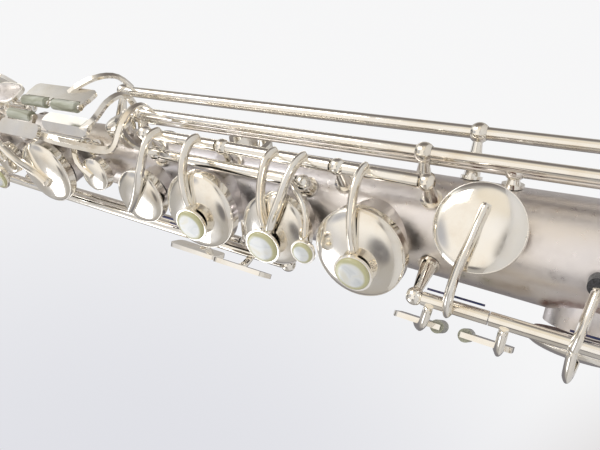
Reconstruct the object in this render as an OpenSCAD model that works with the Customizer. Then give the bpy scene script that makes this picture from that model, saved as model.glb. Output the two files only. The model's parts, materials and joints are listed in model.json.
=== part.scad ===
// Straight soprano saxophone, built as an assembly of body, posts, rods and pivoting keys.
// +Z runs up the horn from the bell rim to the mouthpiece, and the main row of keys faces -Y.
// A station is a height up the horn, written for a horn of 630 and scaled with horn_len.
// An angle is measured round the horn from -Y towards +X. A height is measured out of the tube wall.

/* [Horn] */
// Length of the horn from the bell rim to the end of the neck
horn_len = 630; // [560:1:720]
// Outer radius of the tube at the end of the neck
tip_r = 4.95; // [4.5:0.05:6]
// Outer radius of the tube at its foot, where the bell begins
foot_r = 23.1; // [21:0.1:26]
// Length of the flared bell
bell_len = 56; // [46:1:60]
// Radius of the bell rim
bell_r = 45; // [38:0.5:54]
// Thickness of the tube and bell walls
wall = 0.7; // [0.5:0.05:1.0]
// Radius of the bead round the bell rim
bead_r = 1.4; // [1:0.1:2]

/* [Tone holes and cups] */
// Height of a tone hole rim above the crown of the tube
rim_h = 3.6; // [3:0.1:4.5]
// Radius by which a key cup overhangs its tone hole
cup_lap = 3.1; // [2.4:0.1:4]
// Thickness of the tone hole walls
rim_wall = 0.8; // [0.6:0.05:1.2]
// Thickness of the leather pads
pad_t = 3.4; // [2.6:0.1:4]
// Thickness of the cup walls
cup_wall = 0.8; // [0.6:0.05:1.2]
// Radius of the low B flat cup
cup_low_bb = 17.5; // [15:0.1:18.5]
// Radius of the low B cup
cup_low_b = 17; // [15:0.1:18.5]
// Radius of the C sharp cup
cup_csharp = 14.5; // [12:0.1:17]
// Radius of the low C cup
cup_low_c = 15.5; // [13:0.1:17]
// Radius of the E flat cup
cup_eflat = 13.8; // [12:0.1:15]
// Radius of the D cup
cup_d = 15.8; // [13:0.1:16.5]
// Radius of the E cup
cup_e = 13.2; // [11:0.1:14]
// Radius of the F cup
cup_f = 15.3; // [13:0.1:16]
// Radius of the F sharp cup
cup_fsharp = 11.3; // [9:0.1:12.5]
// Radius of the G cup
cup_g = 14.2; // [12:0.1:15]

/* [Keywork] */
// Radius of the steel rods that the keys turn on
rod_r = 1.0; // [0.8:0.05:1.3]
// Outer radius of the hinge tubes
tube_r = 2.2; // [1.9:0.05:2.4]
// Running clearance between a rod and its hinge tube
run_gap = 0.05; // [0.03:0.01:0.1]
// End clearance between a hinge tube and its posts
end_gap = 0.2; // [0.1:0.05:0.4]
// Radius of the post balls
ball_r = 2.95; // [2.6:0.05:3.2]
// Radius of the post feet
foot_disc_r = 4.6; // [3.6:0.1:5]
// Width of the key arms
arm_w = 2.6; // [2:0.1:3.2]
// Height of the key arms at their ridge
arm_t = 2.8; // [2:0.1:3.4]
// Angle that the finger keys stand open
open_a = 8; // [5:0.5:9]
// Angle that the bell keys stand open
bell_open_a = 7; // [5:0.5:8]
// Radius of the finger pearls
pearl_r = 6.0; // [5:0.1:6.4]
// Height of the touch plates of the left hand table above the tube
table_h = 18; // [17.5:0.1:20]
// Radius of the pearl rollers
roller_r = 2.3; // [2:0.05:2.5]

/* [Mouthpiece] */
// Radius of the cork on the neck
cork_r = 7.6; // [7.2:0.05:8]
// Length of the neck cork
cork_len = 34; // [28:1:40]
// Outer radius of the mouthpiece shank
mouth_r = 10.6; // [10.2:0.1:12]
// Length of the mouthpiece
mouth_len = 64; // [60:1:72]
// Clearance of the mouthpiece bore round the cork
cork_gap = 0.06; // [0.03:0.01:0.1]

/* [Hidden] */
$fn = 32;
nominal_len = 630;
touch_gap = 0.1;
skin = 0.12;
fit_gap = 0.02;
taper = (foot_r - tip_r) / (horn_len - bell_len);
tilt = atan(taper);
arm_steps = 3;
plate_t = 1.8;
pin_r = 0.7;
top = horn_len;
flare_k = 3;

function st(z) = z * horn_len / nominal_len;
function R(z) = tip_r + taper * (horn_len - z);
// Point at station z (already scaled), angle th and height h above the tube
function place(z, th, h) = let (rr = R(z) + h * cos(tilt))
    [rr * sin(th), -rr * cos(th), z + h * sin(tilt)];
function outward(th) = [sin(th), -cos(th), 0];
function unit(v) = v / norm(v);

// Rods: angle, height, lower and upper station
rh_rod = [61, 11, st(240.4), st(354.4)];
trill_rod = [47, 5.6, st(284), st(350)];
pinky_rod = [-14, 13.6, st(163), st(237.4)];
bb_rod = [119.5, 15.6, st(67), st(387)];
b_rod = [91, 9.8, st(114), st(367)];
cs_rod = [107, 5.5, st(139), st(380)];
gs_rod = [40, 6, st(387), st(432)];
lh_rod = [48, 9.5, st(440), st(510)];
side_bb_rod = [-76, 12, st(318), st(446)];
side_c_rod = [-58, 12, st(293), st(472)];
palm_d_rod = [112, 9, st(467), st(516)];
palm_eflat_rod = [50, 9.5, st(518), st(543)];
palm_f_rod = [118, 9, st(524), st(560)];
octave_rod = [158, 6, st(456), st(497)];
vent_rod = [158, 6, st(497), st(575)];
lh_mid = st(472);
rh_mid_low = st(271);
rh_mid_high = st(317.5);
pinky_seam = st(214);
guide_z = st(232);
RODS = [rh_rod, trill_rod, pinky_rod, bb_rod, b_rod, cs_rod, gs_rod, lh_rod, side_bb_rod, side_c_rod,
        palm_d_rod, palm_eflat_rod, palm_f_rod, octave_rod, vent_rod];

// Tone holes: station, angle, cup radius
low_bb_hole = [st(84), 82, cup_low_bb];
low_b_hole = [st(121), 45, cup_low_b];
csharp_hole = [st(155), 155, cup_csharp];
low_c_hole = [st(188), -59, cup_low_c];
eflat_hole = [st(222.3), 40, cup_eflat];
d_hole = [st(257.5), 1, cup_d];
e_hole = [st(289.5), 1, cup_e];
f_hole = [st(322.8), -1, cup_f];
f_sharp_hole = [st(352.5), -4, cup_fsharp];
trill_hole = [st(374), 74, 6];
gsharp_hole = [st(380), 6, 7.2];
g_hole = [st(408.5), -8, cup_g];
bis_hole = [st(434), -4, 7.2];
a_hole = [st(455), 0, 9.2];
b_hole = [st(477), 0, 8.6];
c_hole = [st(497), 0, 6.6];
side_bb_hole = [st(439), -110, 6.2];
side_c_hole = [st(464), -92, 6];
palm_d_hole = [st(511), 84, 5.6];
palm_eflat_hole = [st(536), 22, 5.4];
palm_f_hole = [st(554), 88, 5.2];
HOLES = [low_bb_hole, low_b_hole, csharp_hole, low_c_hole, eflat_hole, d_hole, e_hole, f_hole,
    f_sharp_hole,
         trill_hole, gsharp_hole, g_hole, bis_hole, a_hole, b_hole, c_hole, side_bb_hole, side_c_hole,
         palm_d_hole, palm_eflat_hole, palm_f_hole];
vent_z = st(582);
vent_th = 132;
vent_pip_h = 4;

function hole_r(hole) = min(hole[2] - cup_lap, 0.86 * R(hole[0]));
// How far a cup domes, the height of its side, and the height of its top
function dome_rise(r) = 0.2 * r;
function shell_h(hole) = rim_h + touch_gap + pad_t + fit_gap + 0.6;
function dome_top(hole) = shell_h(hole) + dome_rise(hole[2]);

// ---------------------------------------------------------------- placing

module at(z, th, h = 0)
    rotate([0, 0, th]) translate([0, -R(z), z]) rotate([90 - tilt, 0, 0]) translate([0, 0, h]) children();

module from(z, th, h)
    translate([0, 0, -h]) rotate([tilt - 90, 0, 0]) translate([0, R(z), -z]) rotate([0, 0,
        -th]) children();

// Turns a key about its rod by angle a, positive outwards for what lies at smaller angles round the horn
module swing(rod, a)
    at(rod[2], rod[0], rod[1]) rotate([0, a, 0]) from(rod[2], rod[0], rod[1]) children();

// A cylinder along a rod from one station to another
module along(rod, z0, z1, r)
    at(z0, rod[0], rod[1]) rotate([-90, 0, 0]) cylinder(r = r, h = (z1 - z0) / cos(tilt));

// The tube tapers in short lengths, every second joint between them a hair fuller
tube_lengths = 12;
tube_swell = 0.02;
function tube_point(i) = let (z = bell_len + i * (horn_len - bell_len) / tube_lengths)
    [R(z) + tube_swell * (i % 2), z];

// The outside of the tube, grown by a clearance and run on past both ends
module tube_solid(grow = 0, past = 0) rotate_extrude() polygon(concat(
    [[0, bell_len - past], [foot_r + grow, bell_len - past]],
    [for (i = [past > 0 ? 0 : 1 : tube_lengths]) tube_point(i) + [grow, 0]],
    past > 0 ? [[tip_r + grow, horn_len + past]] : [],
    [[0, horn_len + past]]));

// The tube and its tone hole chimneys, grown by a clearance, to trim what stands on them
module seat(grow = skin) {
    tube_solid(grow);
    for (hole = HOLES) at(hole[0], hole[1], 0) cylinder(r = hole_r(hole) + grow, h = rim_h + grow);
}

// ---------------------------------------------------------------- shared shapes

// Smooth curve through points of [station, angle, height]
function blend(p0, p1, p2, p3, t) = 0.5 * ((2 * p1) + (p2 - p0) * t
    + (2 * p0 - 5 * p1 + 4 * p2 - p3) * t * t + (3 * p1 - p0 - 3 * p2 + p3) * t * t * t);
function smooth(p, n) = let (last = len(p) - 1) concat(
    [for (i = [0 : last - 1], k = [0 : n - 1])
        blend(p[max(i - 1, 0)], p[i], p[i + 1], p[min(i + 2, last)], k / n)], [p[last]]);

// An arm with a flat foot and a ridged back, swept through points of [station, angle, height]
module arm(points, w = arm_w, t = arm_t) {
    path = smooth(points, arm_steps);
    spots = [for (p = path) place(p[0], p[1], p[2])];
    last = len(path) - 1;
    shape = [[-w / 2, 0], [w / 2, 0], [w / 2, 0.55 * t], [0, t], [-w / 2, 0.55 * t]];
    n = len(shape);
    rings = [for (i = [0 : last])
        let (along = unit(spots[min(i + 1, last)] - spots[max(i - 1, 0)]),
             side = unit(cross(along, outward(path[i][1]))),
             up = cross(side, along))
        for (q = shape) spots[i] + q[0] * side + q[1] * up];
    faces = concat([[for (k = [n - 1 : -1 : 0]) k]], [[for (k = [0 : n - 1]) last * n + k]],
        [for (i = [0 : last - 1], k = [0 : n - 1], half = [0, 1]) let (j = (k + 1) % n)
            half == 0 ? [i * n + k, i * n + j, (i + 1) * n + j] : [i * n + k, (i + 1) * n + j,
                (i + 1) * n + k]]);
    polyhedron(points = rings, faces = faces, convexity = 4);
}

// A rounded plate, x wide and y long, centred, lying in the surface plane
module plate(x, y, r, t = plate_t)
    linear_extrude(t) {
        square([x - 2 * r, y], center = true);
        square([x, y - 2 * r], center = true);
        for (sx = [-1, 1], sy = [-1, 1]) translate([sx * (x / 2 - r), sy * (y / 2 - r)]) circle(r);
    }

// The dished cup of a key, closed on its tone hole
module cup(hole) {
    r = hole[2];
    rise = dome_rise(r);
    arc = [for (i = [1 : 5]) [r * cos(i * 18), rise * sin(i * 18)]];
    at(hole[0], hole[1], rim_h + touch_gap) rotate_extrude() polygon(concat(
        [[0, pad_t + fit_gap], [r - cup_wall, pad_t + fit_gap], [r - cup_wall, 0.7], [r, 0.7],
         [r, pad_t + 0.6]],
        [for (p = arc) if (p[0] > 0.01) [p[0], pad_t + 0.6 + p[1]]],
        [[0, pad_t + 0.6 + rise]]));
}

// The pad inside a cup
module pad(hole) {
    r = hole[2] - cup_wall - fit_gap;
    at(hole[0], hole[1], rim_h + touch_gap) rotate_extrude()
        polygon([[0, 0], [r - 0.5, 0], [r, 0.5], [r, pad_t], [0, pad_t]]);
}

// The metal holder under a pearl, solid until its seat is cut, and the pearl in it
module pearl_holder(z, th, h, r = pearl_r)
    at(z, th, h) rotate_extrude() polygon([[0, 0], [r * 0.8, 0], [r + 0.7, 2.2], [r + 0.7, 3.2], [0, 3.2]]);

module pearl(z, th, h, r = pearl_r)
    at(z, th, h + 1.6 + fit_gap) rotate_extrude() polygon([[0, 0], [r, 0], [r, 1.5],
        for (i = [1 : 4]) [r * cos(i * 18), 1.5 + 0.7 * sin(i * 18)], [0, 2.2]]);

// The bore of a key's hinge tubes, cut through whatever crosses it
module rod_way(rod) along(rod, rod[2] - 1, rod[3] + 1, rod_r + run_gap);

// A key: everything drawn as its children, kept clear of its rod
module key(rod) difference() {
    union() children();
    rod_way(rod);
}

// Where a hinge tube may begin above a post, and end below one
function above(z) = z + ball_r * 0.8 + end_gap;
function below(z) = z - ball_r * 0.8 - end_gap;

// ---------------------------------------------------------------- body

module body_tube() color("silver") difference() {
    union() {
        tube_solid();
        for (hole = HOLES) at(hole[0], hole[1], -R(hole[0]) * 0.8)
            cylinder(r = hole_r(hole), h = R(hole[0]) * 0.8 + rim_h);
        at(vent_z, vent_th, -2) cylinder(r = 2.2, h = 2 + vent_pip_h);
    }
    tube_solid(-wall, skin);
    for (hole = HOLES) at(hole[0], hole[1], -R(hole[0]) * 0.4)
        cylinder(r = hole_r(hole) - rim_wall, h = R(hole[0]));
    at(vent_z, vent_th, -3) cylinder(r = 1, h = 10);
}

// The bell flares exponentially from the foot of the tube to the rim; step 0 of n is at the rim
function flare(i, n, grow) = let (u = i / n)
    [foot_r + grow + (bell_r - foot_r) * (exp(flare_k * (1 - u)) - 1) / (exp(flare_k) - 1), u * bell_len];

module bell() color("silver") {
    n = 14;
    rotate_extrude($fn = 96) polygon(concat(
        [for (i = [1 : n]) flare(i, n, 0)],
        [for (i = [n : -1 : 0]) flare(i, n, -wall * (2 - i / n))],
        [[bell_r + 0.6, 0], [bell_r + bead_r, 0.8], [bell_r + bead_r, 2.0], [bell_r + 0.4, 2.9]]));
}

module bell_ferrule() color("gainsboro") translate([0, 0, bell_len]) rotate_extrude($fn = 96)
    polygon([[foot_r + 0.3, -2.4], [foot_r + 1.1, -2.4], [foot_r + 1.5, -1.2], [foot_r + 1.5, 1.2],
             [foot_r + 1.1, 2], [foot_r + skin, 2], [foot_r + skin, 0]]);

module neck_cork() color("burlywood") difference() {
    translate([0, 0, top - cork_len - 1]) cylinder(r = cork_r, h = cork_len);
    tube_solid(fit_gap);
}

// ---------------------------------------------------------------- posts and rods

module post(z, th, h, br = ball_r) {
    at(z, th, -1.2) cylinder(r = foot_disc_r * 0.78, h = 2.3);
    at(z, th, 0) cylinder(r1 = foot_disc_r * 0.62, r2 = 1.5, h = max(h - br * 0.6, 0.5));
    at(z, th, h) intersection() {
        sphere(r = br);
        rotate([90, 0, 0]) cylinder(r = br + 1, h = br * 1.6, center = true);
    }
}

module post_bores(z, th, h, hole)
    at(z, th, h) rotate([90, 0, 0]) cylinder(r = hole, h = 4 * ball_r, center = true);

// Posts at both ends of every rod, those between keys on the two stacks,
// and two guides for the long tubes
POSTS = concat(
    [for (rod = RODS) each [[rod[2], rod[0], rod[1]], [rod[3], rod[0], rod[1]]]],
    [[lh_mid, lh_rod[0], lh_rod[1]], [rh_mid_low, rh_rod[0], rh_rod[1]],
     [rh_mid_high, rh_rod[0], rh_rod[1]]]);
GUIDES = [[guide_z, bb_rod[0], bb_rod[1]], [guide_z + 14, b_rod[0], b_rod[1]],
          [guide_z - 14, cs_rod[0], cs_rod[1]]];
guide_hole = tube_r + 0.15;
guide_ball = tube_r + 1.3;

module posts() color("silver") {
    difference() {
        for (i = [0 : len(POSTS) - 1]) if (i != 2 * len(RODS) - 2) post(POSTS[i][0], POSTS[i][1],
            POSTS[i][2]);
        for (p = POSTS) post_bores(p[0], p[1], p[2], rod_r + fit_gap);
        seat();
    }
    difference() {
        for (p = GUIDES) post(p[0], p[1], p[2], guide_ball);
        for (p = GUIDES) post_bores(p[0], p[1], p[2], guide_hole);
        seat();
    }
}

module hinge_rods() color("lightsteelblue")
    for (rod = RODS) if (rod != octave_rod)
        along(rod, rod == vent_rod ? octave_rod[2] - 1.6 : rod[2] - 1.6, rod[3] + 1.6, rod_r);

// ---------------------------------------------------------------- keys

// A touch plate beside a pearl roller: the roller's pin lies at station z, the plate on the side dir
touch_ear = 1.8;
module roller_touch(z, th, h, x, y, dir)
    at(z, th, h) {
        translate([0, dir * (roller_r + 0.7 + y / 2), -plate_t / 2]) plate(x, y, 2);
        for (s = [-1, 1]) translate([s * (x / 2 - touch_ear / 2) - touch_ear / 2,
            min(dir * (roller_r + 2.5), -1.3),
            -plate_t / 2]) cube([touch_ear, roller_r + 3.8, plate_t]);
        rotate([0, 90, 0]) cylinder(r = pin_r, h = x - touch_ear, center = true);
    }

module roller(z, th, h, x)
    at(z, th, h) rotate([0, 90, 0]) difference() {
        cylinder(r = roller_r, h = x - 2 * touch_ear - 0.3, center = true);
        cylinder(r = pin_r + run_gap, h = x, center = true);
    }

// Roller touches: station, angle, height, width, plate length, side of the plate
eflat_touch = [st(230.3), -47, 16.2, 14, 12, 1];
low_c_touch = [st(221), -47, 16.2, 14, 12, -1];
// Left hand table plates with rollers along one edge: station, angle, height, width, length,
// side of the rollers, and each roller's place along the plate
low_b_touch = [st(414), 39.5, table_h, 6.6, 24, 1, [1]];
low_bb_touch = [st(402), 77.5, table_h, 8.4, 36, -1, [-9, 9]];
edge_roller_len = 13.4;
function edge_x(t) = t[5] * (t[3] / 2 + 0.4 + roller_r);
module edge_touch(t) at(t[0], t[1], t[2]) {
    translate([0, 0, -plate_t / 2]) plate(t[3], t[4], 2.4);
    for (y = t[6], s = [-1, 1]) {
        translate([edge_x(t) / 2, y + s * (edge_roller_len + touch_ear) / 2, 0])
            cube([abs(edge_x(t)), touch_ear, plate_t], center = true);
        translate([edge_x(t), y + s * (edge_roller_len + touch_ear) / 2, 0])
            rotate([90, 0, 0]) cylinder(r = pin_r + 0.6, h = touch_ear, center = true);
    }
    for (y = t[6]) translate([edge_x(t), y, 0])
        rotate([90, 0, 0]) cylinder(r = pin_r, h = edge_roller_len + 1, center = true);
}
module edge_roller(t, y) at(t[0], t[1], t[2]) translate([edge_x(t), y, 0]) rotate([90, 0,
    0]) difference() {
    cylinder(r = roller_r, h = edge_roller_len - 0.3, center = true);
    cylinder(r = pin_r + run_gap, h = edge_roller_len, center = true);
}

module touch_of(t) roller_touch(t[0], t[1], t[2], t[3], t[4], t[5]);
module roller_of(t) roller(t[0], t[1], t[2], t[3]);

module low_bb_key() color("silver") key(bb_rod) {
    t = dome_top(low_bb_hole) - 0.4;
    along(bb_rod, above(bb_rod[2]), below(bb_rod[3]), tube_r);
    swing(bb_rod, bell_open_a) {
        cup(low_bb_hole);
        arm([[st(84), 119.5, 16.6], [st(84), 108, 18.2], [st(84), 95, 15], [st(84), 82, t],
             [st(84), 72, t + 0.2]]);
    }
    arm([[st(383), 119.5, 16.6], [st(385), 108, 20.5], [st(388), 97, 21.5], [st(393), 88, 20],
         [st(398), 80, table_h - 0.4]], 3, 2.2);
    edge_touch(low_bb_touch);
}

module low_b_key() color("silver") key(b_rod) {
    t = dome_top(low_b_hole) - 0.4;
    along(b_rod, above(b_rod[2]), below(b_rod[3]), tube_r);
    swing(b_rod, bell_open_a) {
        cup(low_b_hole);
        arm([[st(121), 91, 10.8], [st(121), 78, 15], [st(121), 62, 13.4], [st(121), 45, t],
             [st(121), 36, t + 0.1]]);
    }
    arm([[st(361), 91, 10.8], [st(361), 82, 15.6], [st(361.5), 70, 17.2], [st(362), 56, 16.4],
         [st(363.5), 44, 14], [st(368), 37.5, 12.7], [st(381), 36, 12.5], [st(395), 36, 12.5],
         [st(402), 37, 13.4], [st(407), 39, table_h - 1]], 3.2, 1.5);
    edge_touch(low_b_touch);
}

module csharp_key() color("silver") key(cs_rod) {
    t = dome_top(csharp_hole) - 0.4;
    along(cs_rod, above(cs_rod[2]), below(cs_rod[3]), tube_r);
    cup(csharp_hole);
    arm([[st(155), 107, 6.4], [st(155), 116, 8.8], [st(155), 124, 9.6], [st(155), 132, 12],
         [st(155), 155, t], [st(155), 163, t + 0.1]], 2.4, 2.2);
    arm([[st(374.5), 107, 6.6], [st(374), 98, 13], [st(373), 86, 17], [st(373), 72, 18.6],
         [st(374), 58, 18.2], [st(379), 49, table_h - 0.8]], 3, 2.4);
    // the touch has a sloping front
    at(st(388), 49.8, table_h - plate_t / 2) intersection() {
        plate(7.6, 26, 3.4, 4);
        rotate([90, 0, 0]) translate([0, 0, -14]) linear_extrude(28)
            polygon([[-3.8, 0], [3.8, 0], [3.8, 1.8], [-0.4, 2.4], [-3.8, 0.6]]);
    }
}

module low_c_key() color("silver") key(pinky_rod) {
    t = dome_top(low_c_hole) - 0.4;
    along(pinky_rod, above(pinky_rod[2]), pinky_seam - end_gap, tube_r);
    swing(pinky_rod, bell_open_a) {
        cup(low_c_hole);
        arm([[st(190), -14, 14.6], [st(189.6), -28, 17.4], [st(189), -43, 15], [st(188), -58, t],
             [st(188), -67, t + 0.1]]);
        arm([[st(190), -14, 14.8], [st(189.3), -2, 14], [st(188.6), 8, 10.6], [st(188), 16, 7.6]]);
    }
    arm([[st(209), -14, 14.8], [st(209.4), -26, 17.4], [st(210), -38, 16.4], [st(211), -46, 15.4]]);
    touch_of(low_c_touch);
}

module eflat_key() color("silver") key(pinky_rod) {
    t = dome_top(eflat_hole) - 0.4;
    along(pinky_rod, pinky_seam + end_gap, below(pinky_rod[3]), tube_r);
    cup(eflat_hole);
    arm([[st(226), -14, 14.8], [st(225.5), 0, 16.8], [st(224.5), 16, 14.4], [st(223), 30, 11.8],
         [st(222.3), 41, t], [st(221), 54, t + 0.6]]);
    arm([[st(232), -14, 14.8], [st(233.5), -26, 17.4], [st(236), -38, 16.4], [st(238), -46, 15.4]]);
    touch_of(eflat_touch);
}

// A finger pearl's place on a stack key: station, angle, height of its holder when the key is closed
d_spot = [st(256.7), -7, dome_top(d_hole) + 0.3];
e_spot = [st(291), -7, dome_top(e_hole) + 0.8];
f_spot = [st(322.3), -7, dome_top(f_hole) + 0.3];
g_spot = [st(433), -14, 13.2];
a_spot = [st(455), -12, dome_top(a_hole) + 0.2];
b_spot = [st(477), -12, dome_top(b_hole) + 0.2];
trill_spot = [st(274.3), 4, 15.6];
trill_pearl_r = 3.7;
// An arm ends this far under a pearl holder's foot, so that its ridge stays below the pearl
pearl_sink = 1.3;
module holder_at(s, r = pearl_r) pearl_holder(s[0], s[1], s[2], r);
// What carries a pearl, with the pearl's seat cut into it
module seated(s, r = pearl_r) difference() {
    union() children();
    at(s[0], s[1], s[2] + 1.6) cylinder(r = r + fit_gap, h = 6);
}
module pearl_at(s, r = pearl_r) pearl(s[0], s[1], s[2], r);

module d_key() color("silver") key(rh_rod) {
    t = dome_top(d_hole);
    along(rh_rod, above(rh_rod[2]), below(rh_mid_low), tube_r);
    swing(rh_rod, open_a) seated(d_spot) {
        cup(d_hole);
        arm([[st(260.5), 61, 11.8], [st(260.5), 51, 14.6], [st(260), 36, 14.2], [st(259), 20, 12.4],
             [st(258), 6, t - 0.6], [d_spot[0], d_spot[1], d_spot[2] - pearl_sink]]);
        holder_at(d_spot);
    }
}

module e_key() color("silver") key(rh_rod) {
    t = dome_top(e_hole);
    along(rh_rod, above(rh_mid_low), below(rh_mid_high), tube_r);
    swing(rh_rod, open_a) seated(e_spot) {
        cup(e_hole);
        arm([[st(294.5), 61, 11.8], [st(294.5), 51, 14.4], [st(294), 34, 13], [st(292.5), 16, 11.4],
             [st(290), 0, t - 0.4]]);
        arm([[st(283), 61, 11.8], [st(283.5), 51, 14.6], [st(285), 30, 14.4], [st(288), 10, 12.6],
             [e_spot[0], e_spot[1], e_spot[2] - pearl_sink]]);
        holder_at(e_spot);
    }
}

module f_key() color("silver") key(rh_rod) {
    t = dome_top(f_hole);
    along(rh_rod, above(rh_mid_high), st(337), tube_r);
    swing(rh_rod, open_a) seated(f_spot) {
        cup(f_hole);
        arm([[st(328), 61, 11.8], [st(328), 51, 14.6], [st(327), 34, 14], [st(325), 16, 12],
             [st(323.5), 3, t - 0.6], [f_spot[0], f_spot[1], f_spot[2] - pearl_sink]]);
        holder_at(f_spot);
    }
}

module f_sharp_key() color("silver") key(rh_rod) {
    t = dome_top(f_sharp_hole) - 0.3;
    along(rh_rod, st(337) + end_gap, below(rh_rod[3]), tube_r);
    swing(rh_rod, open_a) {
        cup(f_sharp_hole);
        arm([[st(346.5), 61, 11.8], [st(346.5), 50, 14.6], [st(346.5), 30, 13.6], [st(348.5), 14, 11.4],
             [st(352.5), -3, t], [st(357), -18, t + 0.2]]);
    }
}

module trill_key() color("silver") key(trill_rod) {
    along(trill_rod, above(trill_rod[2]), below(trill_rod[3]), tube_r);
    cup(trill_hole);
    pad(trill_hole);
    arm([[st(343), 47, 6.6], [st(347), 46, 8.4], [st(353), 46, 8.6], [st(361), 51, 8.6],
         [st(369), 64, 8.8],
         [st(374), 74, dome_top(trill_hole) - 0.3]], 2.2, 2);
    seated(trill_spot, trill_pearl_r) {
        arm([[st(288), 47, 6.6], [st(284), 40, 10.2], [st(279), 31, 11.6], [st(276), 22, 13.2],
             [st(275), 12, 14.8], [trill_spot[0], trill_spot[1], trill_spot[2] - 0.5]], 2, 2);
        holder_at(trill_spot, trill_pearl_r);
    }
}

module gsharp_key() color("silver") key(gs_rod) {
    along(gs_rod, above(gs_rod[2]), below(gs_rod[3]), tube_r);
    cup(gsharp_hole);
    pad(gsharp_hole);
    arm([[st(392), 40, 6.8], [st(391), 31, 8], [st(387), 17, 9.2],
         [st(380), 6, dome_top(gsharp_hole) - 0.3]], 2.4, 1.8);
    arm([[st(426.5), 40, 7], [st(427.5), 48, 11], [st(429.5), 56, 14.6], [st(431), 62, table_h - 1.6]],
         2.6, 2);
    at(st(433), 69, table_h - 1) plate(12, 17, 4.5);
}

module g_key() color("silver") key(lh_rod) {
    t = dome_top(g_hole);
    along(lh_rod, above(lh_rod[2]), st(451), tube_r);
    swing(lh_rod, open_a) seated(g_spot) {
        cup(g_hole);
        arm([[st(446), 48, 10.6], [st(440), 38, 13.8], [st(430), 24, 14.6], [st(420), 10, 13],
             [st(411), -4, t - 0.5], [st(404), -16, t - 0.3]]);
        arm([[st(449), 48, 10.8], [st(447.2), 38, 14.3], [st(443), 22, 15.1], [st(437), 2, 14.4],
             [st(434), -10, g_spot[2] - pearl_sink]]);
        holder_at(g_spot);
    }
}

module bis_key() color("silver") key(lh_rod) {
    along(lh_rod, st(451) + end_gap, st(460), tube_r);
    swing(lh_rod, open_a) {
        cup(bis_hole);
        pad(bis_hole);
        arm([[st(456.5), 48, 10.4], [st(452), 38, 10.2], [st(443), 22, 10], [st(437), 6, 9.6],
             [st(434), -4, dome_top(bis_hole) - 0.3]], 2.2, 1.7);
    }
}

module a_key() color("silver") key(lh_rod) {
    along(lh_rod, st(460) + end_gap, below(lh_mid), tube_r);
    swing(lh_rod, open_a) seated(a_spot) {
        cup(a_hole);
        pad(a_hole);
        arm([[st(464), 48, 10.6], [st(463), 38, 13.4], [st(460), 20, 12.6], [st(457), 5, 10],
             [st(455), -8, a_spot[2] - pearl_sink]]);
        holder_at(a_spot);
    }
}

module b_key() color("silver") key(lh_rod) {
    along(lh_rod, above(lh_mid), st(492), tube_r);
    swing(lh_rod, open_a) seated(b_spot) {
        cup(b_hole);
        pad(b_hole);
        arm([[st(482), 48, 10.6], [st(481.5), 38, 13.2], [st(480), 20, 12.4], [st(478), 5, 10],
             [st(477), -8, b_spot[2] - pearl_sink]]);
        holder_at(b_spot);
    }
}

module c_key() color("silver") key(lh_rod) {
    along(lh_rod, st(492) + end_gap, below(lh_rod[3]), tube_r);
    swing(lh_rod, open_a) {
        cup(c_hole);
        pad(c_hole);
        arm([[st(499), 48, 10.6], [st(499), 38, 12.8], [st(498), 20, 11.4],
             [st(497), 2, dome_top(c_hole) - 0.3]], 2.4, 2.2);
    }
}

// A side or palm key: a closed cup on one side of its rod, a touch plate on the other
module small_key(rod, hole, cup_arm, touch_arm, z, th, h, x, y) key(rod) {
    along(rod, above(rod[2]), below(rod[3]), tube_r);
    cup(hole);
    pad(hole);
    arm(concat(cup_arm, [[hole[0], hole[1], dome_top(hole) - 0.3]]), 2.2, 2);
    arm(touch_arm, 2.4, 2.2);
    at(z, th, h) plate(x, y, 2.6);
}

module side_bb_key() color("silver") small_key(side_bb_rod, side_bb_hole,
    [[st(439), -76, 13], [st(439), -88, 12.4], [st(439), -99, 10.4]],
    [[st(334), -76, 13], [st(334.5), -69, 16], [st(335), -62, 17.2]], st(337), -62, 17.4, 9, 24);

module side_c_key() color("silver") small_key(side_c_rod, side_c_hole,
    [[st(464), -58, 13], [st(464), -70, 13], [st(464), -82, 10.6]],
    [[st(310), -58, 13], [st(310), -51, 16], [st(310), -46, 17]], st(309), -46, 17.2, 9, 24);

module palm_d_key() color("silver") small_key(palm_d_rod, palm_d_hole,
    [[st(511), 112, 9.8], [st(511), 102, 11], [st(511), 92, 9.6]],
    [[st(476), 112, 10], [st(476.5), 124, 14], [st(478), 134, 14.8]], st(480), 138, 15, 11, 20);

module palm_eflat_key() color("silver") small_key(palm_eflat_rod, palm_eflat_hole,
    [[st(536), 50, 10.3], [st(536), 40, 11.4], [st(536), 30, 9.6]],
    [[st(524), 50, 10.4], [st(519), 60, 13.6], [st(509), 72, 15.2], [st(500), 80, 15.4]],
        st(494), 82, 15.4, 11, 18);

module palm_f_key() color("silver") small_key(palm_f_rod, palm_f_hole,
    [[st(554), 118, 9.8], [st(554), 107, 11], [st(554), 96, 9.6]],
    [[st(531), 118, 10], [st(530), 130, 14], [st(529), 138, 14.8]], st(528), 142, 15, 10, 16);

module octave_lever() color("silver") key(octave_rod) {
    along(octave_rod, above(octave_rod[2]), below(octave_rod[3]), tube_r);
    arm([[st(470), 158, 7], [st(470), 168, 9.4], [st(470), 180, 8.2]], 3, 2);
    at(st(470), 186, 8) plate(12, 16, 3);
    arm([[st(489), 158, 6.8], [st(493), 148, 9.4], [st(499), 146, 10.4], [st(504), 150, 9.2]], 2.2, 2);
}

module octave_vent_key() color("silver") key(vent_rod) {
    along(vent_rod, above(vent_rod[2]), below(vent_rod[3]), tube_r);
    arm([[st(566), 158, 7], [st(570), 146, 9.6], [st(576), 139, 9.6], [st(581), 133, 7.4]], 2.2, 2);
    at(vent_z, vent_th, vent_pip_h + touch_gap) cylinder(r = 3.2, h = 3.6);
    arm([[st(506), 158, 6.6], [st(505), 152, 7], [st(504.5), 147, 7]], 2.2, 1.6);
}

// ---------------------------------------------------------------- pearls, pads and rollers

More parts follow.
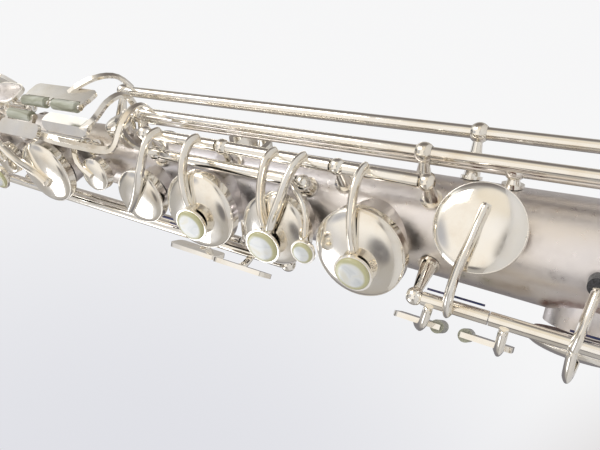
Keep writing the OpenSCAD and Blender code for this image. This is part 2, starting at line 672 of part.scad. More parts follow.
module d_pearl() color("ghostwhite") swing(rh_rod, open_a) pearl_at(d_spot);
module e_pearl() color("ghostwhite") swing(rh_rod, open_a) pearl_at(e_spot);
module f_pearl() color("ghostwhite") swing(rh_rod, open_a) pearl_at(f_spot);
module trill_pearl() color("ghostwhite") pearl_at(trill_spot, trill_pearl_r);
module g_pearl() color("ghostwhite") swing(lh_rod, open_a) pearl_at(g_spot);
module a_pearl() color("ghostwhite") swing(lh_rod, open_a) pearl_at(a_spot);
module b_pearl() color("ghostwhite") swing(lh_rod, open_a) pearl_at(b_spot);

module low_bb_pad() color("sienna") swing(bb_rod, bell_open_a) pad(low_bb_hole);
module low_b_pad() color("sienna") swing(b_rod, bell_open_a) pad(low_b_hole);
module csharp_pad() color("sienna") pad(csharp_hole);
module low_c_pad() color("sienna") swing(pinky_rod, bell_open_a) pad(low_c_hole);
module eflat_pad() color("sienna") pad(eflat_hole);
module d_pad() color("black") swing(rh_rod, open_a) pad(d_hole);
module e_pad() color("black") swing(rh_rod, open_a) pad(e_hole);
module f_pad() color("black") swing(rh_rod, open_a) pad(f_hole);
module f_sharp_pad() color("black") swing(rh_rod, open_a) pad(f_sharp_hole);
module g_pad() color("black") swing(lh_rod, open_a) pad(g_hole);

module eflat_roller() color("palegoldenrod") roller_of(eflat_touch);
module low_c_roller() color("palegoldenrod") roller_of(low_c_touch);
module low_b_roller() color("palegoldenrod") edge_roller(low_b_touch, low_b_touch[6][0]);
module low_bb_roller_upper() color("palegoldenrod") edge_roller(low_bb_touch, low_bb_touch[6][1]);
module low_bb_roller_lower() color("palegoldenrod") edge_roller(low_bb_touch, low_bb_touch[6][0]);

// ---------------------------------------------------------------- fittings

// Blued springs lie beside the hinge tubes: rod, lower station, length
SPRINGS = [[rh_rod, st(243), 20], [rh_rod, st(274), 22], [rh_rod, st(320), 14], [rh_rod, st(338), 13],
           [trill_rod, st(290), 24], [pinky_rod, st(168), 24], [pinky_rod, st(216), 18],
               [bb_rod, st(71), 30],
           [b_rod, st(118), 30], [cs_rod, st(143), 30], [gs_rod, st(391), 24], [lh_rod, st(443), 8],
           [lh_rod, st(452), 7.5], [lh_rod, st(461), 8], [lh_rod, st(475), 15], [lh_rod, st(493), 13],
           [side_bb_rod, st(346), 26], [side_c_rod, st(324), 26], [palm_d_rod, st(490), 22],
           [palm_eflat_rod, st(522), 16], [palm_f_rod, st(536), 20], [octave_rod, st(473), 18],
           [vent_rod, st(520), 24]];
spring_r = 0.35;
spring_side = (ball_r + spring_r + 0.1) * 0.7072;

module needle_springs() color("midnightblue")
    for (s = SPRINGS) at(s[1], s[0][0], s[0][1]) translate([spring_side, 0, -spring_side])
        rotate([-90, 0, 0]) cylinder(r = spring_r, h = s[2]);

// A guard over a bell key cup: a strap along the horn on two feet
guard_h = 19.6;
guard_w = 5;
guard_t = 1.4;
guard_reach = 5;
module guard(hole) {
    half = hole[2] + guard_reach;
    at(hole[0], hole[1], 0) {
        for (s = [-1, 1]) translate([0, s * half, -3]) cylinder(r = guard_w / 2,
            h = guard_h + 3 + guard_t);
        for (s = [-1, 1]) translate([0, s * half, -3]) cylinder(r = guard_w * 0.7, h = 4.2);
        translate([-guard_w / 2, -half, guard_h]) cube([guard_w, 2 * half, guard_t]);
    }
}
module key_guards() color("silver") difference() {
    for (hole = [low_bb_hole, low_b_hole]) guard(hole);
    seat();
}

stop_felt_h = 4.7;
module bumpers() color("black") {
    for (hole = [low_bb_hole, low_b_hole]) at(hole[0], hole[1], guard_h - 1.5 - fit_gap)
        cylinder(r = 3.4, h = 1.5);
    difference() {
        at(st(188), 17, -1) cylinder(r = 2.8, h = 1 + stop_felt_h);
        seat();
    }
}

module thumb_hook() color("silver") difference() {
    at(st(322), 180, 0) {
        translate([0, 0, -1.5]) plate(13, 30, 3, 3);
        rotate([90, 0, 90]) translate([0, 0, -5]) linear_extrude(10) difference() {
            union() {
                translate([9, 9]) circle(r = 10.4);
                translate([-1.4, 0]) square([10, 9]);
            }
            translate([9, 9]) circle(r = 8.2);
            translate([9, -5]) square([20, 15]);
        }
    }
    seat();
}

module thumb_rest() color("silver") difference() {
    at(st(447), 186, -1) {
        cylinder(r = 3.4, h = 4);
        translate([0, 0, 4]) cylinder(r = 6.5, h = 1.8);
    }
    seat();
}

strap_hole_r = 4;
strap_ring_t = 2.4;
module strap_ring() color("silver") difference() {
    at(st(376), 180, 0) {
        translate([0, 0, -1.5]) plate(9, 16, 3, 3);
        translate([0, 0, 7.2]) rotate([0, 90, 0]) cylinder(r = strap_hole_r + 2, h = strap_ring_t,
            center = true);
        translate([-strap_ring_t / 2, -3, 0]) cube([strap_ring_t, 6, 4]);
    }
    at(st(376), 180, 7.2) rotate([0, 90, 0]) cylinder(r = strap_hole_r, h = 10, center = true);
    seat();
}

// ---------------------------------------------------------------- mouthpiece

mouth_z = top - 26;
table_y = 7.9;
tip_z = mouth_z + mouth_len;
reed_t = 2.6;
reed_len = mouth_len * 0.84;

module mouthpiece() color("#1a1a1c") difference() {
    translate([0, 0, mouth_z]) rotate_extrude() polygon([[cork_r + 0.4, 0], [mouth_r - 0.6, 0],
        [mouth_r, 0.8],
        [mouth_r, 7], [mouth_r - 0.5, 7.6], [mouth_r - 0.7, mouth_len * 0.55], [mouth_r - 1.6, mouth_len],
        [0, mouth_len], [0, 20]]);
    translate([0, 0, mouth_z - 1]) cylinder(r = cork_r + cork_gap, h = 33);
    translate([0, 0, mouth_z + 30]) cylinder(r1 = cork_r - 0.6, r2 = 4.4, h = mouth_len * 0.42);
    // the sloping beak, the flat table for the reed, and the window behind it
    translate([-20, -table_y + 4.9, tip_z]) rotate([-60, 0, 0]) translate([0, -30, 0]) cube([40, 30, 40]);
    translate([-20, table_y, tip_z - reed_len - 0.5]) cube([40, 20, mouth_len]);
    translate([-4.6, 0, mouth_z + mouth_len * 0.62]) cube([9.2, 20, mouth_len * 0.36 - 1.2]);
}

module reed() color("wheat") intersection() {
    translate([0, 0, mouth_z]) cylinder(r = mouth_r + 0.6, h = mouth_len * 1.1);
    translate([-6.3, table_y + fit_gap, tip_z - reed_len]) rotate([90, 0, 90]) linear_extrude(12.6)
        polygon([[0, 0], [reed_t, 0], [reed_t, reed_len * 0.45], [0.4, reed_len], [0, reed_len]]);
}

ligature_z = mouth_z + mouth_len * 0.26;
ligature_h = 16;
ligature_r = mouth_r + 1.0;
module ligature() color("silver") {
    difference() {
        translate([0, 0, ligature_z]) cylinder(r = ligature_r + 0.6, h = ligature_h);
        translate([0, 0, ligature_z - 1]) cylinder(r = ligature_r, h = ligature_h + 2);
    }
    for (z = [0.25, 0.75]) translate([-7, -ligature_r - 2.6,
        ligature_z + ligature_h * z]) rotate([0, 90, 0]) {
        cylinder(r = 1.3, h = 14);
        translate([0, 0, 14]) cylinder(r = 3.2, h = 2);
    }
    for (s = [-1, 1]) translate([s * 4 - 1.4, -ligature_r - 4.4, ligature_z]) cube([2.8, 5, ligature_h]);
}

body_tube();
bell();
bell_ferrule();
neck_cork();
posts();
hinge_rods();
needle_springs();
key_guards();
bumpers();
thumb_hook();
thumb_rest();
strap_ring();
mouthpiece();
reed();
ligature();
low_bb_key();
low_b_key();
csharp_key();
low_c_key();
eflat_key();
d_key();
e_key();
f_key();
f_sharp_key();
trill_key();
gsharp_key();
g_key();
bis_key();
a_key();
b_key();
c_key();
side_bb_key();
side_c_key();
palm_d_key();
palm_eflat_key();
palm_f_key();
octave_lever();
octave_vent_key();
d_pearl();
e_pearl();
f_pearl();
trill_pearl();
g_pearl();
a_pearl();
b_pearl();
low_bb_pad();
low_b_pad();
csharp_pad();
low_c_pad();
eflat_pad();
d_pad();
e_pad();
f_pad();
f_sharp_pad();
g_pad();
eflat_roller();
low_c_roller();
low_b_roller();
low_bb_roller_upper();
low_bb_roller_lower();
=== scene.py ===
# %% [markdown]
# # A straight soprano saxophone, dressed for its portrait
#
# A soprano saxophone is a long silver cone with some sixty moving pieces hung on it: cups that
# cover its tone holes, arms that carry the cups, tubes that turn on steel rods, pearls for the
# fingers and needle springs that push everything back.
#
# The working model already has every piece at its true size. This script keeps that model as a
# fixed frame and builds the looks round it. New pieces are surfaces worked out with numpy: each is
# a grid of points that a short formula gives.

import bpy
import json
import numpy as np
from mathutils import Matrix, Vector


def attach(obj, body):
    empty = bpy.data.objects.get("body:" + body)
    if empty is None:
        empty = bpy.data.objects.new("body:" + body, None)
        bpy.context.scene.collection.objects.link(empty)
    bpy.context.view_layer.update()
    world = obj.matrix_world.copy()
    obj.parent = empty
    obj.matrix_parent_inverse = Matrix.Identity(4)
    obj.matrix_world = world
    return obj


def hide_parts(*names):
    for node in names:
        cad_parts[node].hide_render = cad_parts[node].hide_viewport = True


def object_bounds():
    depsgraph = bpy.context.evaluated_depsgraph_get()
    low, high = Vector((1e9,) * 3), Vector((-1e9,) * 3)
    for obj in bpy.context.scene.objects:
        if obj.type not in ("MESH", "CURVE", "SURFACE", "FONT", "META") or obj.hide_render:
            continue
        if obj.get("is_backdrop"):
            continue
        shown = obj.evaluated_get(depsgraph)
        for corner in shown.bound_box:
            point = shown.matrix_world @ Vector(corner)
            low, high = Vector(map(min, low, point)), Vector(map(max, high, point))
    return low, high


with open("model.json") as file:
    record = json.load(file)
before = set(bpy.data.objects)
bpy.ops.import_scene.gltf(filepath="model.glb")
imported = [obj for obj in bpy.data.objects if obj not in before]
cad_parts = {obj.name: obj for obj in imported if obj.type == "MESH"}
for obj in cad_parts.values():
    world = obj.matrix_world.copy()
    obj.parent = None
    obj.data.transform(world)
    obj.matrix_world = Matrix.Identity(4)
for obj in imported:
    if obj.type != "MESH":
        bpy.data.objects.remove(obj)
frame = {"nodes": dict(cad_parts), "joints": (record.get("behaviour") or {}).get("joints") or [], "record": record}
cad_low, cad_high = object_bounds()
nodes = frame["nodes"]
behaviour = frame["record"]["behaviour"]
body_of = {name: body for body, names in behaviour["bodies"].items() for name in names}
MM = 0.001

# %% [markdown]
# The camera comes first. It looks at the middle of the horn from the side of the keys, a hand's
# length away, and lies nearly on its side, so that the horn runs across the picture.

# %% Camera
camera_data = bpy.data.cameras.new("camera")
camera = bpy.data.objects.new("camera", camera_data)
bpy.context.scene.collection.objects.link(camera)
bpy.context.scene.camera = camera
camera_data.sensor_width = 36
camera_data.lens = 35.8
camera_data.clip_start = 0.01
view_right = Vector((-0.07016, 0.45959, -0.88536))
view_down = Vector((-0.81500, -0.53819, -0.21479))
view_ahead = Vector((-0.57520, 0.70649, 0.41232))
turn = Matrix((view_right, -view_down, -view_ahead)).transposed()
camera.matrix_world = Matrix.Translation((0.122584, -0.168723, 0.196766)) @ turn.to_4x4()
print("camera at", tuple(round(x, 3) for x in camera.matrix_world.translation))

# %% [markdown]
# Polished silver shows its surroundings more than itself, so the studio matters as much as the
# metal. The surroundings are one soft bright room: a pale shell with a few broad darker and warmer
# patches that the metal mirrors as grey and beige streaks.

# %% The room that the metal mirrors
scene = bpy.context.scene
scene.view_settings.view_transform = "Standard"
world = bpy.data.worlds.new("room")
scene.world = world
world.use_nodes = True
room = world.node_tree
room.nodes.clear()


def link_new(tree, kind, **inputs):
    """Adds a node of one kind to a tree and sets its named inputs, linking those that are sockets.
    An input named i0, i1 and so on is taken by its number."""
    node = tree.nodes.new(kind)
    for name, value in inputs.items():
        by_number = name[0] == "i" and name[1:].isdigit()
        socket = node.inputs[int(name[1:]) if by_number else name]
        if isinstance(value, bpy.types.NodeSocket):
            tree.links.new(value, socket)
        else:
            socket.default_value = value
    return node


room_direction = room.nodes.new("ShaderNodeTexCoord").outputs["Generated"]


def patch(below, toward, inner, outer, color):
    """A round patch of colour on the room's shell: full inside the inner angle, gone at the outer."""
    aim = Vector(toward).normalized()
    facing = link_new(room, "ShaderNodeVectorMath", i0=room_direction, i1=aim)
    facing.operation = "DOT_PRODUCT"
    blend = link_new(room, "ShaderNodeMapRange", Value=facing.outputs["Value"])
    blend.interpolation_type = "SMOOTHSTEP"
    blend.inputs["From Min"].default_value = np.cos(np.radians(outer))
    blend.inputs["From Max"].default_value = np.cos(np.radians(inner))
    mix = room.nodes.new("ShaderNodeMix")
    mix.data_type = "RGBA"
    room.links.new(blend.outputs["Result"], mix.inputs["Factor"])
    room.links.new(below, mix.inputs["A"])
    mix.inputs["B"].default_value = (*color, 1)
    return mix.outputs["Result"]


ROOM_GREY = (0.45, 0.43, 0.41)
# azimuth from -Y towards +X, elevation, full within, gone beyond (degrees), colour
ROOM_PATCHES = [
    (30, 22, 22, 56, (0.98, 0.94, 0.89)),
    (25, 48, 6, 20, (0.50, 0.50, 0.53)),
    (-42, 32, 8, 24, (0.78, 0.77, 0.78)),
    (75, 0, 10, 26, (0.86, 0.79, 0.68)),
    (95, 62, 12, 26, (1.15, 1.14, 1.10)),
    (-45, -58, 14, 30, (1.05, 0.98, 0.88)),
    (-150, 58, 6, 20, (0.95, 0.95, 0.98)),
    (10, 88, 10, 26, (0.15, 0.15, 0.16)),
    (-115, 12, 20, 42, (0.22, 0.21, 0.22)),
    (132, 16, 14, 38, (0.20, 0.18, 0.17)),
    (34, -24, 9, 24, (0.10, 0.09, 0.09)),
    (80, -34, 8, 22, (0.15, 0.13, 0.11)),
    (-12, 5, 4, 13, (0.20, 0.19, 0.19)),
]
shell = room.nodes.new("ShaderNodeRGB")
shell.outputs[0].default_value = (*ROOM_GREY, 1)
glow = shell.outputs[0]
for azimuth, elevation, inner, outer, color in ROOM_PATCHES:
    side, rise = np.radians(azimuth), np.radians(elevation)
    toward = (np.sin(side) * np.cos(rise), -np.cos(side) * np.cos(rise), np.sin(rise))
    glow = patch(glow, toward, inner, outer, color)

# %% [markdown]
# The camera does not see that room. It sees a sheet of pale paper with painted shadows at two places, and the
# light path tells the two apart: a ray that leaves the camera meets paper, any other meets the room.

# %% The pale backdrop, with painted shadows, that the camera sees
PAPER = (0.925, 0.925, 0.93)
sheet = room.nodes.new("ShaderNodeRGB")
sheet.outputs[0].default_value = (*PAPER, 1)
# Painted shadows on the paper: a lavender-grey one and a darker warm one, mixed into its colour.
paper = patch(sheet.outputs[0], (-0.75, 0.05, 0.35), 8, 50, (0.74, 0.745, 0.79))
paper = patch(paper, (-0.62, 0.25, -0.35), 6, 34, (0.50, 0.455, 0.445))
seen = room.nodes.new("ShaderNodeLightPath").outputs["Is Camera Ray"]
view_of_room = room.nodes.new("ShaderNodeMix")
view_of_room.data_type = "RGBA"
room.links.new(seen, view_of_room.inputs["Factor"])
room.links.new(glow, view_of_room.inputs["A"])
room.links.new(paper, view_of_room.inputs["B"])
background = link_new(
    room, "ShaderNodeBackground", Color=view_of_room.outputs["Result"], Strength=1.0
)
link_new(room, "ShaderNodeOutputWorld", Surface=background.outputs[0])
print("room patches", len(ROOM_PATCHES))

# %% [markdown]
# Three area lamps stand for softboxes. The third lies under the floor, which hides it from the horn,
# so it adds no light. The floor is a round sheet at the height of the horn's foot.

# %% Softboxes and floor


def softbox(name, place, toward, width, height, watts, color):
    """A rectangular area lamp at a place, turned to shine toward a point."""
    lamp = bpy.data.lights.new(name, "AREA")
    lamp.shape = "RECTANGLE"
    lamp.size, lamp.size_y, lamp.energy, lamp.color = width, height, watts, color
    holder = bpy.data.objects.new(name, lamp)
    scene.collection.objects.link(holder)
    aim = (Vector(toward) - Vector(place)).to_track_quat("-Z", "Y")
    holder.matrix_world = Matrix.Translation(place) @ aim.to_matrix().to_4x4()
    return holder


middle = (0, 0, 0.32)
softbox("key_softbox", (0.78, -0.22, 0.86), middle, 0.34, 0.5, 2.4, (1.0, 0.98, 0.95))
softbox("fill_softbox", (-0.62, -0.62, 0.96), middle, 0.55, 0.4, 1.5, (0.95, 0.97, 1.0))
softbox("low_softbox", (0.62, -0.62, -0.30), middle, 0.5, 0.12, 0.7, (1.0, 0.95, 0.88))

FLOOR_REACH = 1.2
floor_mesh = bpy.data.meshes.new("floor")
turns = np.radians(np.arange(0, 360, 5))
floor_x, floor_y = np.cos(turns) * FLOOR_REACH, np.sin(turns) * FLOOR_REACH
floor_points = np.stack([floor_x, floor_y, np.full(len(turns), cad_low.z)], 1)
floor_mesh.from_pydata(floor_points.tolist(), [], [tuple(range(len(turns)))])
floor = bpy.data.objects.new("floor", floor_mesh)
scene.collection.objects.link(floor)
floor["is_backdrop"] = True

# %% [markdown]
# ## Finishes
# Each finish is a small node tree that reads Object coordinates, so that it lies still on the piece.

# %% A helper for finishes


class Finish:
    """A node material: a Principled shader, Object coordinates, and short calls for the usual nodes."""

    def __init__(self, name, color, metallic=0.0, roughness=0.4, **sockets):
        self.material = bpy.data.materials.new(name)
        self.material.use_nodes = True
        self.tree = self.material.node_tree
        self.shader = self.tree.nodes["Principled BSDF"]
        self.shader.inputs["Base Color"].default_value = (*color, 1)
        self.shader.inputs["Metallic"].default_value = metallic
        self.shader.inputs["Roughness"].default_value = roughness
        for socket, value in sockets.items():
            self.shader.inputs[socket.replace("_", " ")].default_value = value
        self.where = self.tree.nodes.new("ShaderNodeTexCoord").outputs["Object"]

    def noise(self, scale, detail=3.0, stretch=(1, 1, 1), distort=0.0):
        """Cloudy noise, scale per metre, stretched along an axis where stretch is under 1."""
        at = link_new(self.tree, "ShaderNodeMapping", Vector=self.where)
        at.inputs["Scale"].default_value = stretch
        made = link_new(self.tree, "ShaderNodeTexNoise", Vector=at.outputs[0], Scale=scale, Detail=detail)
        made.inputs["Distortion"].default_value = distort
        return made.outputs["Fac"]

    def ramp(self, value, *stops):
        """Turns a value into colour or a number through stops of (place, colour)."""
        made = link_new(self.tree, "ShaderNodeValToRGB", Fac=value)
        points = made.color_ramp.elements
        while len(points) < len(stops):
            points.new(0.5)
        for point, (place, color) in zip(points, stops):
            point.position = place
            point.color = (*color, 1) if isinstance(color, tuple) else (color, color, color, 1)
        return made.outputs["Color"]

    def paint(self, socket, value):
        """Feeds a node's value to the shader."""
        self.tree.links.new(value, self.shader.inputs[socket])

    def bump(self, height, strength, distance):
        """Raises the surface by a value, distance in metres."""
        made = link_new(self.tree, "ShaderNodeBump", Height=height, Strength=strength, Distance=distance)
        self.paint("Normal", made.outputs["Normal"])

    def mix(self, factor, a, b):
        """A mix of two colours by a factor."""
        made = self.tree.nodes.new("ShaderNodeMix")
        made.data_type = "RGBA"
        for name, value in (("Factor", factor), ("A", a), ("B", b)):
            socket = made.inputs[name]
            if isinstance(value, bpy.types.NodeSocket):
                self.tree.links.new(value, socket)
            else:
                socket.default_value = (*value, 1) if isinstance(value, tuple) else value
        return made.outputs["Result"]


# %% [markdown]
# Keys are polished and the tube is satin. Both are silver with a faint warm tarnish that varies in
# broad clouds, and a roughness that varies on a finer scale. Rods are steel and springs are blued.

# %% Silver, polished and satin
polished = Finish("polished_silver", (0.90, 0.87, 0.82), metallic=1.0, roughness=0.1)
haze = polished.noise(90, 4)
tarnish = ((0.3, (0.95, 0.93, 0.89)), (0.55, (0.94, 0.90, 0.82)), (0.75, (0.86, 0.78, 0.66)))
polished.paint("Base Color", polished.ramp(haze, *tarnish))
polished.paint("Roughness", polished.ramp(polished.noise(240, 5), (0.35, 0.06), (0.7, 0.2)))
polished.bump(polished.noise(60, 2), 0.25, 0.0006)

satin = Finish("satin_silver", (0.80, 0.78, 0.77), metallic=1.0, roughness=0.34, Anisotropic=0.25)
cloud = satin.noise(22, 3)
tarnish = ((0.3, (0.83, 0.81, 0.85)), (0.55, (0.84, 0.79, 0.75)), (0.75, (0.77, 0.69, 0.59)))
satin.paint("Base Color", satin.ramp(cloud, *tarnish))
satin.paint("Roughness", satin.ramp(satin.noise(420, 4), (0.3, 0.26), (0.75, 0.42)))
satin.bump(satin.noise(5200, 2, (1, 1, 0.25)), 0.18, 0.00006)

steel = Finish("rod_steel", (0.74, 0.73, 0.72), metallic=1.0, roughness=0.2)
steel.paint("Roughness", steel.ramp(steel.noise(900, 3, (1, 1, 0.2)), (0.3, 0.14), (0.75, 0.34)))

blued = Finish("blued_spring", (0.05, 0.07, 0.16), metallic=1.0, roughness=0.28)
blues = ((0.35, (0.03, 0.05, 0.14)), (0.7, (0.10, 0.09, 0.16)))
blued.paint("Base Color", blued.ramp(blued.noise(350, 3), *blues))

# %% [markdown]
# The other materials are soft or shiny in their own ways: pearl is clouded under a clear coat,
# leather has pores, cork has dark specks, and cane has fibres that run along the reed.

# %% Pearl, leather, felt, cork, ebonite and cane
pearl = Finish("mother_of_pearl", (0.80, 0.81, 0.78), roughness=0.16, Coat_Weight=0.6, Coat_Roughness=0.05)
swirl = pearl.noise(140, 4, (1, 1, 0.6), 1.6)
clouds = ((0.3, (0.60, 0.65, 0.68)), (0.5, (0.80, 0.83, 0.84)), (0.7, (0.78, 0.77, 0.66)))
pearl_body = pearl.ramp(swirl, *clouds)
rim = pearl.tree.nodes.new("ShaderNodeAttribute")
rim.attribute_name = "rim"
yellow_ring = pearl.ramp(rim.outputs["Fac"], (0.70, 0.0), (0.84, 1.0))
pearl.paint("Base Color", pearl.mix(yellow_ring, pearl_body, (0.58, 0.57, 0.34)))
pearl.bump(swirl, 0.1, 0.0002)

roller_pearl = Finish("roller_pearl", (0.45, 0.46, 0.36), roughness=0.18, Coat_Weight=0.5, Coat_Roughness=0.06)
layers = roller_pearl.noise(170, 4, (1, 1, 0.25), 1.2)
clouds = ((0.3, (0.22, 0.21, 0.15)), (0.5, (0.44, 0.46, 0.36)), (0.72, (0.72, 0.75, 0.70)))
roller_pearl.paint("Base Color", roller_pearl.ramp(layers, *clouds))

LEATHERS = {
    "stack_pad": ((0.012, 0.011, 0.011), (0.05, 0.045, 0.04)),
    "brown_pad": ((0.16, 0.05, 0.03), (0.34, 0.14, 0.09)),
}
leather = {}
for name, (dark, light) in LEATHERS.items():
    hide = Finish(name, light, roughness=0.55)
    pores = hide.noise(1900, 5)
    hide.paint("Base Color", hide.ramp(pores, (0.35, dark), (0.7, light)))
    hide.paint("Roughness", hide.ramp(hide.noise(500, 3), (0.3, 0.42), (0.7, 0.68)))
    hide.bump(pores, 0.35, 0.0001)
    leather[name] = hide

felt = Finish("felt", (0.05, 0.05, 0.055), roughness=0.95, Sheen_Weight=0.4)
felt.bump(felt.noise(4200, 4), 0.6, 0.0002)
greys = ((0.3, (0.02, 0.02, 0.022)), (0.75, (0.09, 0.09, 0.10)))
felt.paint("Base Color", felt.ramp(felt.noise(1500, 4), *greys))

cork = Finish("cork", (0.62, 0.43, 0.25), roughness=0.8)
grain = cork.noise(900, 5)
browns = ((0.35, (0.30, 0.17, 0.08)), (0.45, (0.62, 0.42, 0.24)), (0.75, (0.72, 0.53, 0.33)))
cork.paint("Base Color", cork.ramp(grain, *browns))
cork.bump(grain, 0.5, 0.0003)

ebonite = Finish("ebonite", (0.016, 0.015, 0.016), roughness=0.2, Coat_Weight=0.35, Coat_Roughness=0.08)
ebonite.paint("Roughness", ebonite.ramp(ebonite.noise(300, 4), (0.3, 0.14), (0.7, 0.3)))

cane = Finish("cane", (0.78, 0.62, 0.34), roughness=0.55)
fibres = cane.noise(2600, 4, (1, 1, 0.03))
cane.paint("Base Color", cane.ramp(fibres, (0.3, (0.60, 0.43, 0.19)), (0.7, (0.85, 0.71, 0.45))))
cane.bump(fibres, 0.3, 0.00008)

floor_paint = Finish("floor_paper", (0.94, 0.94, 0.94), roughness=0.8)
floor_paint.bump(floor_paint.noise(120, 3), 0.05, 0.001)
floor_mesh.materials.append(floor_paint.material)

# %% [markdown]
# ## The frame's own pieces
# The working model's solids come as loose triangles. They keep their shape, and only their shading
# is changed: each corner takes the mean of the faces that meet there at a shallow angle, so that
# cones and domes shade as smooth surfaces and true edges stay crisp.

# %% Shade the frame's pieces


def soften(piece, crease=34):
    """Gives each corner of a mesh the mean normal of the faces round its point that lie within
    crease degrees of its own face, weighted by the corner's angle."""
    mesh = piece.data
    count = len(mesh.loops)
    points = np.empty(len(mesh.vertices) * 3, np.float32)
    mesh.vertices.foreach_get("co", points)
    corner = np.empty(count, np.int32)
    mesh.loops.foreach_get("vertex_index", corner)
    spots = points.reshape(-1, 3)[corner].astype(float)
    faces = spots.reshape(-1, 3, 3)
    normals = np.cross(faces[:, 1] - faces[:, 0], faces[:, 2] - faces[:, 0])
    normals /= np.maximum(np.linalg.norm(normals, axis=1, keepdims=True), 1e-20)
    one, two = np.roll(faces, -1, 1) - faces, np.roll(faces, 1, 1) - faces
    lengths = np.linalg.norm(one, axis=2) * np.linalg.norm(two, axis=2)
    bend = np.arccos(np.clip((one * two).sum(2) / np.maximum(lengths, 1e-20), -1, 1)).ravel()
    face_of = np.repeat(np.arange(count // 3), 3)
    keys = np.round(spots * 1e6).astype(np.int64)
    _, group = np.unique(keys, axis=0, return_inverse=True)
    order = np.argsort(group.ravel(), kind="stable")
    sizes = np.bincount(group.ravel())
    starts = np.cumsum(sizes) - sizes
    total = np.zeros((count, 3))
    limit = np.cos(np.radians(crease))
    group = group.ravel()
    for step in range(int(sizes.max())):
        has = sizes[group] > step
        mine = np.nonzero(has)[0]
        other = order[starts[group[mine]] + step]
        near = (normals[face_of[mine]] * normals[face_of[other]]).sum(1) > limit
        mine, other = mine[near], other[near]
        total[mine] += normals[face_of[other]] * bend[other, None]
    total /= np.maximum(np.linalg.norm(total, axis=1, keepdims=True), 1e-20)
    for polygon in mesh.polygons:
        polygon.use_smooth = True
    mesh.normals_split_custom_set(total.astype(np.float32))


SLOT_FINISH = {
    "satin_silver": satin, "polished_silver": polished, "steel": steel, "blued_steel": blued,
    "pearl": pearl, "roller_pearl": roller_pearl, "felt": felt, "cork": cork, "ebonite": ebonite,
    "cane": cane, **leather,
}
slot_of = {part["node"]: part["material_slot"] for part in frame["record"]["subparts"]}
for name, node in nodes.items():
    node.data.materials.clear()
    node.data.materials.append(SLOT_FINISH[slot_of[name]].material)
    soften(node)
print("dressed", len(nodes), "pieces of the frame")

# %% [markdown]
# ## Measuring the frame
# Every new piece is placed by what it stands on. A cup's pad is a short cylinder, so its centre,
# its axis and its radius can be worked out from its corners, wherever the frame has put it.

# %% Measure round solids of the frame


def corners(name):
    """All corners of one of the frame's nodes, as rows of x, y, z in metres."""
    flat = np.empty(len(nodes[name].data.vertices) * 3, np.float32)
    nodes[name].data.vertices.foreach_get("co", flat)
    return np.unique(flat.reshape(-1, 3).astype(float).round(7), axis=0)


def outward(point):
    """The unit vector away from the horn's own axis at a point."""
    away = np.array([point[0], point[1], 0.0])
    return away / np.linalg.norm(away)


def measure_disc(name):
    """Centre, axis, radius and thickness of a disc: its axis is the direction in which its
    corners spread least, turned to point away from the horn."""
    points = corners(name)
    centre = (points.min(0) + points.max(0)) / 2
    _, _, ways = np.linalg.svd(points - points.mean(0), full_matrices=False)
    axis = ways[2] * np.sign(ways[2] @ outward(centre))
    along = (points - centre) @ axis
    centre = centre + axis * (along.min() + along.max()) / 2
    flat = points - centre - np.outer((points - centre) @ axis, axis)
    return centre, axis, np.linalg.norm(flat, axis=1).max(), along.max() - along.min()


def frame_on(axis, hint=(0, 0, 1)):
    """Two unit vectors square to an axis and to each other, the second nearest to the hint."""
    up = np.array(hint, float) - np.dot(hint, axis) * axis
    up /= np.linalg.norm(up)
    return np.cross(up, axis), up


for name in ("d_pad", "d_pearl", "g_pearl"):
    centre, axis, radius, thick = measure_disc(name)
    in_mm = round(radius / MM, 2), round(thick / MM, 2)
    print(name, "centre mm", (centre / MM).round(1), "radius and thickness", in_mm)

# %% [markdown]
# A finger pearl is a disc of mother-of-pearl, ground to a low crown with a rounded edge, where the
# shell's darker yellow layer shows. It is a profile turned about the disc's axis. A value kept on
# its corners, 0 at the middle and 1 at the edge, lets the finish paint that yellow ring.

# %% Turn a profile about an axis


def put_mesh(name, points, faces, values=None):
    """Makes a smooth-shaded mesh object from points (n, 3) and faces, with a value per point."""
    mesh = bpy.data.meshes.new(name)
    mesh.from_pydata(np.asarray(points).tolist(), [], faces)
    mesh.polygons.foreach_set("use_smooth", [True] * len(mesh.polygons))
    if values is not None:
        kept = mesh.attributes.new("rim", "FLOAT", "POINT")
        kept.data.foreach_set("value", np.asarray(values, np.float32).ravel())
    mesh.update()
    piece = bpy.data.objects.new(name, mesh)
    scene.collection.objects.link(piece)
    return piece


def grid_faces(rows, columns):
    """Quads between the rows and columns of a grid of points, its last column joined to its first."""
    row, column = np.meshgrid(np.arange(rows - 1), np.arange(columns), indexing="ij")
    here, beside = row * columns + column, row * columns + (column + 1) % columns
    return np.stack([here, beside, beside + columns, here + columns], -1).reshape(-1, 4)


def turned(profile, centre, axis, sides=64):
    """Points and faces of a profile of (radius, height) rows turned about an axis: each row is a
    ring, centre + radius (cos a, sin a) across + height along. A row of no radius is one pole."""
    across, up = frame_on(axis)
    angle = np.linspace(0, 2 * np.pi, sides, endpoint=False)
    ring = np.outer(np.cos(angle), across) + np.outer(np.sin(angle), up)
    profile = np.asarray(profile, float)
    radius, height = profile[:, 0], profile[:, 1]
    points = centre + radius[:, None, None] * ring + height[:, None, None] * axis
    points = points.reshape(-1, 3)
    faces = [tuple(face) for face in grid_faces(len(profile), sides)[:, ::-1]]
    for row in (0, len(profile) - 1):
        if radius[row] < 1e-9:
            points[row * sides:(row + 1) * sides] = centre + height[row] * axis
    return points, faces


